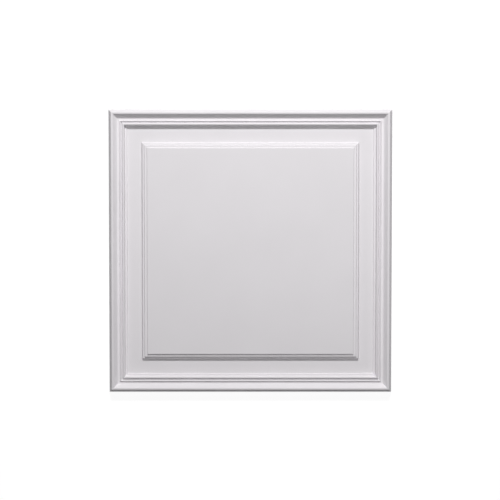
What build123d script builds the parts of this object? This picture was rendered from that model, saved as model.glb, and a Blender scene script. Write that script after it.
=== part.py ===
from build123d import *
import os

# A square wall panel moulded in one piece: a mitred frame moulding, a sunk channel and a raised flat field.
# It lies on its back. The origin is the centre of the back face, +Z points out of the face and +Y up the wall.
# All sizes are in millimetres. Heights are measured from the back face, and runs inwards from the outer edge.

# Overall size
panel_width = 550.0
panel_height = 550.0
crest_height = 20.0

# Outer edge of the frame: a square edge, a splayed flank and a rounded nose
edge_height = 4.0
flank_run = 5.4
nose_width = 3.6
nose_radius = 1.8

# Slope that falls inwards from the nose to a flat quirk
slope_run = 7.8
slope_foot_radius = 3.6
quirk_height = 10.9
quirk_width = 4.1

# Small bead beyond the quirk, steep outside and falling gently into a groove
bead_rise_run = 1.1
bead_height = 13.4
bead_top_width = 0.9
bead_fall_run = 2.9
bead_radius = 0.5
groove_height = 10.0
groove_radius = 0.3

# Round torus between the groove and a narrow fillet
torus_rise_run = 1.7
torus_height = 14.4
torus_top_width = 2.9
torus_fall_run = 1.1
torus_radius = 1.5
fillet_height = 7.5
fillet_width = 4.0

# Step down to the sunk channel
step_run = 0.7
channel_height = 5.4
channel_width = 27.5

# Raised field: three risers with two narrow treads between them
lower_riser_run = 2.4
lower_tread_height = 10.0
lower_tread_width = 2.6
middle_riser_run = 1.1
middle_tread_height = 12.7
middle_tread_width = 4.7
upper_riser_run = 0.6
field_height = 15.4

# Softening that the mould gives to the fine arrises and to the inner corners
arris_radius = 0.4

# Distance of each member of the section from the outer edge
slope_start = flank_run + nose_width
quirk_start = slope_start + slope_run
bead_start = quirk_start + quirk_width
bead_top_start = bead_start + bead_rise_run
bead_top_end = bead_top_start + bead_top_width
groove_at = bead_top_end + bead_fall_run
torus_top_start = groove_at + torus_rise_run
torus_top_end = torus_top_start + torus_top_width
fillet_start = torus_top_end + torus_fall_run
step_start = fillet_start + fillet_width
channel_start = step_start + step_run
lower_riser_start = channel_start + channel_width
lower_tread_start = lower_riser_start + lower_riser_run
middle_riser_start = lower_tread_start + lower_tread_width
middle_tread_start = middle_riser_start + middle_riser_run
upper_riser_start = middle_tread_start + middle_tread_width
field_start = upper_riser_start + upper_riser_run

# Section of the relief, with X inwards from the outer edge and Y out of the face
with BuildSketch() as section:
    with BuildLine():
        relief = FilletPolyline(
            (0, edge_height),
            (flank_run, crest_height),
            (slope_start, crest_height),
            (quirk_start, quirk_height),
            (bead_start, quirk_height),
            (bead_top_start, bead_height),
            (bead_top_end, bead_height),
            (groove_at, groove_height),
            (torus_top_start, torus_height),
            (torus_top_end, torus_height),
            (fillet_start, fillet_height),
            (step_start, fillet_height),
            (channel_start, channel_height),
            (lower_riser_start, channel_height),
            (lower_tread_start, lower_tread_height),
            (middle_riser_start, lower_tread_height),
            (middle_tread_start, middle_tread_height),
            (upper_riser_start, middle_tread_height),
            (field_start, field_height),
            radius=[
                nose_radius,
                nose_radius,
                slope_foot_radius,
                arris_radius,
                bead_radius,
                bead_radius,
                groove_radius,
                torus_radius,
                torus_radius,
                *[arris_radius] * 8,
            ],
        )
        Polyline(relief @ 1, (field_start, edge_height), relief @ 0)
    make_face()


def mitred_rail(inwards, reach, length):
    """One side of the relief: the section run along its edge and cut at both ends by the corner mitres."""
    edge_middle = inwards * -reach
    along = inwards.cross(Vector(0, 0, 1))
    with BuildPart() as rail:
        with BuildSketch(Plane(origin=edge_middle, x_dir=inwards, z_dir=along)):
            add(section.sketch)
        extrude(amount=length / 2, both=True)
        for end in (along, -along):
            corner = edge_middle + end * (length / 2)
            split(bisect_by=Plane(origin=corner, z_dir=-end - inwards), keep=Keep.TOP)
    return rail.part


rails = [
    mitred_rail(Vector(0, 1, 0), panel_height / 2, panel_width),
    mitred_rail(Vector(0, -1, 0), panel_height / 2, panel_width),
    mitred_rail(Vector(1, 0, 0), panel_width / 2, panel_height),
    mitred_rail(Vector(-1, 0, 0), panel_width / 2, panel_height),
]

with BuildPart() as wall_panel:
    with BuildSketch():
        Rectangle(panel_width, panel_height)
    extrude(amount=edge_height)
    with BuildSketch():
        Rectangle(panel_width - 2 * field_start, panel_height - 2 * field_start)
    extrude(amount=field_height)
    add(rails)

wall_panel.part.label = "wall_panel"
os.makedirs("parts", exist_ok=True)
export_step(wall_panel.part, "parts/wall_panel.step")
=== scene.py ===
import math

import bmesh
import bpy
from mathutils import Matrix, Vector


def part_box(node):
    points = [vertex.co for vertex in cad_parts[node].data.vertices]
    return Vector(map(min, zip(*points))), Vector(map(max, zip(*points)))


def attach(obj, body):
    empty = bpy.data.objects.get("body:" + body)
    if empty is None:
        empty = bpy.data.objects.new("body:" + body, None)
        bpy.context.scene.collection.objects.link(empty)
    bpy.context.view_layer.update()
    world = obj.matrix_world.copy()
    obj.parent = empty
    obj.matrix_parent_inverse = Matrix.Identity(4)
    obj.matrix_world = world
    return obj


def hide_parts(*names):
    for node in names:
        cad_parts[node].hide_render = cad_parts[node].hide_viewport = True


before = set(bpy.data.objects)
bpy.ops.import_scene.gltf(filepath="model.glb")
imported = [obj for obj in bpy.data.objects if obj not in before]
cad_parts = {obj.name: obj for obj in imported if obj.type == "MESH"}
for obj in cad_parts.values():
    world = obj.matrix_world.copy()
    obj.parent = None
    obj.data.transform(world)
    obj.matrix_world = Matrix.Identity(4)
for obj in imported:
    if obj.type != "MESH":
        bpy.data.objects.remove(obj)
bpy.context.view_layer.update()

# The panel lies on its back on the floor, face up, with +Y up the wall. All lengths are in metres.
PANEL_NODE = "wall_panel"
panel_low, panel_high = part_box(PANEL_NODE)
panel_width = panel_high.x - panel_low.x
panel_length = panel_high.y - panel_low.y

# Heights above the back, from the outer edge inwards
edge_height = 0.0040
crest_height = panel_high.z
quirk_height = 0.0109
bead_height = 0.0134
groove_height = 0.0100
torus_height = 0.0144
fillet_height = 0.0075
channel_height = 0.0054
lower_tread_height = 0.0100
middle_tread_height = 0.0127
field_height = 0.0154

# Radii of the rounds. The mould gives the small one to every fine arris and inner corner.
nose_round = 0.0018
slope_foot_round = 0.0036
bead_round = 0.0005
groove_round = 0.0003
torus_round = 0.0015
small_round = 0.0004
no_round = 0.0

# Members of the face from the outer edge inwards: the run of each, the height at its inner end,
# and the round at that end
FACE_MEMBERS = {
    "flank": (0.0054, crest_height, nose_round),
    "nose": (0.0036, crest_height, nose_round),
    "slope": (0.0078, quirk_height, slope_foot_round),
    "quirk": (0.0041, quirk_height, small_round),
    "bead rise": (0.0011, bead_height, bead_round),
    "bead top": (0.0009, bead_height, bead_round),
    "bead fall": (0.0029, groove_height, groove_round),
    "torus rise": (0.0017, torus_height, torus_round),
    "torus top": (0.0029, torus_height, torus_round),
    "torus fall": (0.0011, fillet_height, small_round),
    "fillet": (0.0040, fillet_height, small_round),
    "step": (0.0007, channel_height, small_round),
    "channel": (0.0275, channel_height, small_round),
    "lower riser": (0.0024, lower_tread_height, small_round),
    "lower tread": (0.0026, lower_tread_height, small_round),
    "middle riser": (0.0011, middle_tread_height, small_round),
    "middle tread": (0.0047, middle_tread_height, small_round),
    "upper riser": (0.0006, field_height, small_round),
    "field margin": (0.0040, field_height, no_round),
}
round_profile = 0.5
round_segments = 5
back_arris = 0.0004
back_arris_segments = 2
near_enough = 0.00002

# Shading: faces that meet at more than this angle stay apart, and large flats count before small rounds
sharp_angle = math.radians(30)
flats_first = 100


def edit_mesh(piece):
    """The piece's mesh as it is in edit mode."""
    return bmesh.from_edit_mesh(piece.data)


def deselect_all():
    """Nothing selected, in object mode or in edit mode."""
    if bpy.context.mode == "EDIT_MESH":
        bpy.ops.mesh.select_all(action="DESELECT")
    else:
        bpy.ops.object.select_all(action="DESELECT")


def select_edges(piece, wanted):
    """Selects the edges whose two ends are both wanted, and no others."""
    deselect_all()
    mesh = edit_mesh(piece)
    for edge in mesh.edges:
        if all(wanted(vertex.co) for vertex in edge.verts):
            edge.select_set(True)
    mesh.select_flush_mode()
    bmesh.update_edit_mesh(piece.data)


def distances_in(point):
    """How far inwards a point of the panel lies from the nearer side edge and from the nearer end."""
    return panel_width / 2 - abs(point.x), panel_length / 2 - abs(point.y)


def on_ring(point, run_in, height):
    """Whether a point lies on the line round the face at that distance from the edge and that height."""
    return abs(min(distances_in(point)) - run_in) < near_enough and abs(point.z - height) < near_enough


def on_mitre(point):
    """Whether a point lies on a corner mitre."""
    from_side, from_end = distances_in(point)
    return abs(from_side - from_end) < near_enough


def on_edge_line(point):
    """Whether a point lies on the line where the flank leaves the square outer edge."""
    return on_ring(point, 0, edge_height)


def on_back(point):
    """Whether a point lies on the back face."""
    return point.z < near_enough


def cut_slab():
    """The flat blank as thick as the square outer edge, in edit mode with only its upper face selected."""
    deselect_all()
    bpy.ops.mesh.primitive_cube_add(
        size=1,
        location=(0, 0, edge_height / 2),
        scale=(panel_width, panel_length, edge_height),
    )
    slab = bpy.context.active_object
    slab.name = "moulded_panel"
    slab.data.name = "moulded_panel"
    bpy.ops.object.transform_apply(location=True, rotation=True, scale=True)
    bpy.ops.object.mode_set(mode="EDIT")
    deselect_all()
    mesh = edit_mesh(slab)
    highest = max(mesh.faces, key=lambda face: face.calc_center_median().z)
    highest.select_set(True)
    bmesh.update_edit_mesh(slab.data)
    return slab


def raise_members():
    """Insets the selected face once for each member, so that the corners mitre by themselves."""
    height = edge_height
    for run, end_height, _ in FACE_MEMBERS.values():
        bpy.ops.mesh.inset(thickness=run, depth=end_height - height, use_even_offset=True)
        height = end_height


def member_lines():
    """Each line between two members: its distance in, height, radius and the turn of the section there."""
    ends = [(0.0, edge_height)]
    radii = []
    for run, end_height, radius in FACE_MEMBERS.values():
        ends.append((ends[-1][0] + run, end_height))
        radii.append(radius)
    for before, here, after, radius in zip(ends, ends[1:], ends[2:], radii):
        (before_in, before_up), (here_in, here_up), (after_in, after_up) = before, here, after
        arriving = math.atan2(here_up - before_up, here_in - before_in)
        leaving = math.atan2(after_up - here_up, after_in - here_in)
        yield here_in, here_up, radius, abs(leaving - arriving)


def round_member_lines(panel):
    """Rolls each line between two members to its radius."""
    for run_in, height, radius, turn in member_lines():
        select_edges(panel, lambda point: on_ring(point, run_in, height))
        bpy.ops.mesh.bevel(
            offset=radius * math.tan(turn / 2),
            offset_type="OFFSET",
            segments=round_segments,
            profile=round_profile,
            affect="EDGES",
            clamp_overlap=False,
        )


def soften_back_edges(panel):
    """Takes the sharp arris off the four back edges."""
    select_edges(panel, on_back)
    bpy.ops.mesh.bevel(
        offset=back_arris,
        offset_type="OFFSET",
        segments=back_arris_segments,
        profile=round_profile,
        affect="EDGES",
    )


def crisp_lines(panel):
    """Keeps the shading apart along the corner mitres and along the line above the square outer edge."""
    for on_line in (on_mitre, on_edge_line):
        select_edges(panel, on_line)
        bpy.ops.mesh.mark_sharp()


def even_shading(panel):
    """Smooth rounds beside true flats."""
    bpy.ops.object.shade_smooth_by_angle(angle=sharp_angle, keep_sharp_edges=True)
    bpy.ops.object.modifier_add(type="WEIGHTED_NORMAL")
    weighted = panel.modifiers[-1]
    weighted.weight = flats_first
    weighted.keep_sharp = True
    bpy.ops.object.modifier_apply(modifier=weighted.name)


def mould_panel():
    """The whole panel as one moulded piece."""
    panel = cut_slab()
    raise_members()
    round_member_lines(panel)
    soften_back_edges(panel)
    crisp_lines(panel)
    bpy.ops.mesh.select_all(action="SELECT")
    bpy.ops.mesh.normals_make_consistent(inside=False)
    bpy.ops.object.mode_set(mode="OBJECT")
    even_shading(panel)
    return panel


def new_material(name):
    """An empty node material and its output."""
    material = bpy.data.materials.new(name)
    material.use_nodes = True
    nodes = material.node_tree.nodes
    nodes.clear()
    output = nodes.new("ShaderNodeOutputMaterial")
    return material, nodes, material.node_tree.links, output


def noise_on(nodes, links, place, scale, detail, roughness):
    """A noise pattern of that many cells to the metre, fixed to the piece."""
    noise = nodes.new("ShaderNodeTexNoise")
    noise.inputs["Scale"].default_value = scale
    noise.inputs["Detail"].default_value = detail
    noise.inputs["Roughness"].default_value = roughness
    links.new(place, noise.inputs["Vector"])
    return noise.outputs["Fac"]


# The part of a noise's range that most of it lies in
noise_low = 0.3
noise_high = 0.7


def spread(nodes, links, value, low, high):
    """The middle part of a noise value laid out between two levels."""
    levels = nodes.new("ShaderNodeMapRange")
    levels.inputs["From Min"].default_value = noise_low
    levels.inputs["From Max"].default_value = noise_high
    levels.inputs["To Min"].default_value = low
    levels.inputs["To Max"].default_value = high
    links.new(value, levels.inputs["Value"])
    return levels.outputs["Result"]


def patchy_tint(nodes, links, noise, first, second):
    """A colour that wanders between two tints with a noise."""
    mix = nodes.new("ShaderNodeMix")
    mix.data_type = "RGBA"
    mix.inputs["A"].default_value = (*first, 1)
    mix.inputs["B"].default_value = (*second, 1)
    links.new(spread(nodes, links, noise, 0, 1), mix.inputs["Factor"])
    return mix.outputs["Result"]


def roughened(nodes, links, noise, strength, depth):
    """A bump that lays a noise of that depth over the surface."""
    bump = nodes.new("ShaderNodeBump")
    bump.inputs["Strength"].default_value = strength
    bump.inputs["Distance"].default_value = depth
    links.new(noise, bump.inputs["Height"])
    return bump


# White primer on the moulded face, and the bare foam skin on the back
primer_tint = (0.800, 0.776, 0.800)
primer_thin_tint = (0.782, 0.758, 0.781)
primer_gloss = 0.2
primer_smoothest = 0.58
primer_roughest = 0.68
orange_peel_depth = 0.00003
spray_grain_depth = 0.00001
foam_skin_tint = (0.74, 0.72, 0.69)
foam_pore_tint = (0.66, 0.63, 0.59)
back_skin_depth = 0.0003


def face_and_back_colour(nodes, links, place):
    """The primer's colour on the face and the sides, and the foam's on the back."""
    cloud = noise_on(nodes, links, place, scale=9, detail=3, roughness=0.5)
    primer = patchy_tint(nodes, links, cloud, primer_thin_tint, primer_tint)
    pores = noise_on(nodes, links, place, scale=420, detail=4, roughness=0.65)
    foam = patchy_tint(nodes, links, pores, foam_pore_tint, foam_skin_tint)

    height = nodes.new("ShaderNodeSeparateXYZ")
    links.new(place, height.inputs["Vector"])
    above_back = nodes.new("ShaderNodeMapRange")
    above_back.inputs["From Max"].default_value = back_skin_depth
    links.new(height.outputs["Z"], above_back.inputs["Value"])
    colour = nodes.new("ShaderNodeMix")
    colour.data_type = "RGBA"
    links.new(above_back.outputs["Result"], colour.inputs["Factor"])
    links.new(foam, colour.inputs["A"])
    links.new(primer, colour.inputs["B"])
    return colour.outputs["Result"]


def sprayed_surface(nodes, links, place):
    """The normal of a sprayed coat: fine orange peel with a finer grain on it."""
    peel_noise = noise_on(nodes, links, place, scale=1300, detail=2, roughness=0.5)
    peel = roughened(nodes, links, peel_noise, strength=0.15, depth=orange_peel_depth)
    grain_noise = noise_on(nodes, links, place, scale=4200, detail=2, roughness=0.5)
    grain = roughened(nodes, links, grain_noise, strength=0.10, depth=spray_grain_depth)
    links.new(peel.outputs["Normal"], grain.inputs["Normal"])
    return grain.outputs["Normal"]


def white_primer():
    """Matt white primer with a faint lavender cast, sprayed on hard foam. The back keeps the bare skin."""
    material, nodes, links, output = new_material("white_primer_on_foam")
    place = nodes.new("ShaderNodeTexCoord").outputs["Object"]
    paint = nodes.new("ShaderNodeBsdfPrincipled")
    paint.inputs["Specular IOR Level"].default_value = primer_gloss
    links.new(face_and_back_colour(nodes, links, place), paint.inputs["Base Color"])
    sheen_patches = noise_on(nodes, links, place, scale=60, detail=3, roughness=0.55)
    sheen = spread(nodes, links, sheen_patches, primer_smoothest, primer_roughest)
    links.new(sheen, paint.inputs["Roughness"])
    links.new(sprayed_surface(nodes, links, place), paint.inputs["Normal"])
    links.new(paint.outputs["BSDF"], output.inputs["Surface"])
    return material


# Floor: pale for light that bounces, white to the eye, and with the panel's faint shadow on it.
# It lies a hair below the back and ends a little way in under it, so that the back shows from below.
floor_reach = 6.0
floor_lap = 0.002
floor_gap = 0.00005
floor_white = (0.8, 0.8, 0.8, 1)
floor_shadow_catch = (0.20, 0.20, 0.20, 1)
white_glow = 0.90


def seen_directly(nodes, links):
    """1 for light that goes straight, by mirror or through glass to the eye, otherwise 0."""
    path = nodes.new("ShaderNodeLightPath")
    seen = path.outputs["Is Camera Ray"]
    for ray in ("Is Glossy Ray", "Is Transmission Ray"):
        either = nodes.new("ShaderNodeMath")
        either.operation = "MAXIMUM"
        links.new(seen, either.inputs[0])
        links.new(path.outputs[ray], either.inputs[1])
        seen = either.outputs["Value"]
    return seen


def floor_finish():
    """Pale paint, which shows to the eye as white with a faint shadow."""
    material, nodes, links, output = new_material("pale_studio_floor")
    bounce = nodes.new("ShaderNodeBsdfDiffuse")
    bounce.inputs["Color"].default_value = floor_white
    glow = nodes.new("ShaderNodeEmission")
    glow.inputs["Strength"].default_value = white_glow
    shadow_catch = nodes.new("ShaderNodeBsdfDiffuse")
    shadow_catch.inputs["Color"].default_value = floor_shadow_catch
    shown = nodes.new("ShaderNodeAddShader")
    links.new(glow.outputs["Emission"], shown.inputs[0])
    links.new(shadow_catch.outputs["BSDF"], shown.inputs[1])
    choice = nodes.new("ShaderNodeMixShader")
    links.new(seen_directly(nodes, links), choice.inputs["Fac"])
    links.new(bounce.outputs["BSDF"], choice.inputs[1])
    links.new(shown.outputs["Shader"], choice.inputs[2])
    links.new(choice.outputs["Shader"], output.inputs["Surface"])
    material.cycles.emission_sampling = "NONE"
    return material


def lay_floor():
    """A plain pale floor, open under the panel."""
    deselect_all()
    bpy.ops.mesh.primitive_plane_add(size=2 * floor_reach, location=(0, 0, -floor_gap))
    floor = bpy.context.active_object
    floor.name = "studio_floor"
    bpy.ops.object.mode_set(mode="EDIT")
    bpy.ops.mesh.select_all(action="SELECT")
    bpy.ops.mesh.inset(thickness=floor_reach - panel_width / 2 + floor_lap)
    bpy.ops.mesh.delete(type="FACE")
    bpy.ops.object.mode_set(mode="OBJECT")
    floor.data.materials.append(floor_finish())


def white_surroundings():
    """White to the eye and in a sheen, and otherwise dark."""
    world = bpy.data.worlds.new("white_surroundings")
    bpy.context.scene.world = world
    world.use_nodes = True
    nodes, links = world.node_tree.nodes, world.node_tree.links
    background = nodes["Background"]
    background.inputs["Color"].default_value = (white_glow, white_glow, white_glow, 1)
    links.new(seen_directly(nodes, links), background.inputs["Strength"])
    world.cycles.sampling_method = "NONE"


def softbox(name, turn, lean, distance, diameter, watts):
    """A round soft lamp aimed at the panel: turned clockwise from +Y, leaning that far from overhead."""
    lamp = bpy.data.lights.new(name, "AREA")
    lamp.shape = "DISK"
    lamp.size = diameter
    lamp.energy = watts
    stand = bpy.data.objects.new(name, lamp)
    bpy.context.scene.collection.objects.link(stand)
    turn, lean = math.radians(turn), math.radians(lean)
    aim = Vector((math.sin(turn) * math.sin(lean), math.cos(turn) * math.sin(lean), math.cos(lean)))
    stand.location = aim * distance
    stand.rotation_euler = aim.to_track_quat("Z", "Y").to_euler()


def set_lamps():
    """A small key lamp beyond the upper edge, a softer one at each side, and one below for the back."""
    softbox("key_above", turn=2, lean=47.6, distance=2.4, diameter=0.35, watts=47.5)
    softbox("left_fill", turn=-90, lean=32, distance=1.3, diameter=0.6, watts=2.35)
    softbox("right_fill", turn=90, lean=32, distance=1.3, diameter=0.6, watts=3.2)
    softbox("back_fill", turn=0, lean=165, distance=1.5, diameter=1.0, watts=16)


# The photograph's frame: how much of its side the panel fills, and how far the view leans up the wall
picture_side = 500
panel_side_in_picture = 282.3
lens_length = 120
sensor_width = 36
view_lean = math.radians(3)
view_shift = (-0.0008, 0.002)


def set_camera():
    """Looks down on the panel almost squarely, with +Y up in the picture."""
    view = bpy.data.cameras.new("face_view")
    view.lens = lens_length
    view.sensor_width = sensor_width
    view.shift_x, view.shift_y = view_shift
    distance = panel_width * picture_side / panel_side_in_picture * lens_length / sensor_width
    stand = bpy.data.objects.new("face_view", view)
    bpy.context.scene.collection.objects.link(stand)
    stand.location = (0, distance * math.sin(view_lean), distance * math.cos(view_lean))
    stand.rotation_euler = (-view_lean, 0, 0)
    bpy.context.scene.camera = stand


panel = mould_panel()
panel.data.materials.append(white_primer())
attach(panel, "root")
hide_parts(PANEL_NODE)

lay_floor()
white_surroundings()
set_lamps()
set_camera()
bpy.context.scene.view_settings.view_transform = "Standard"
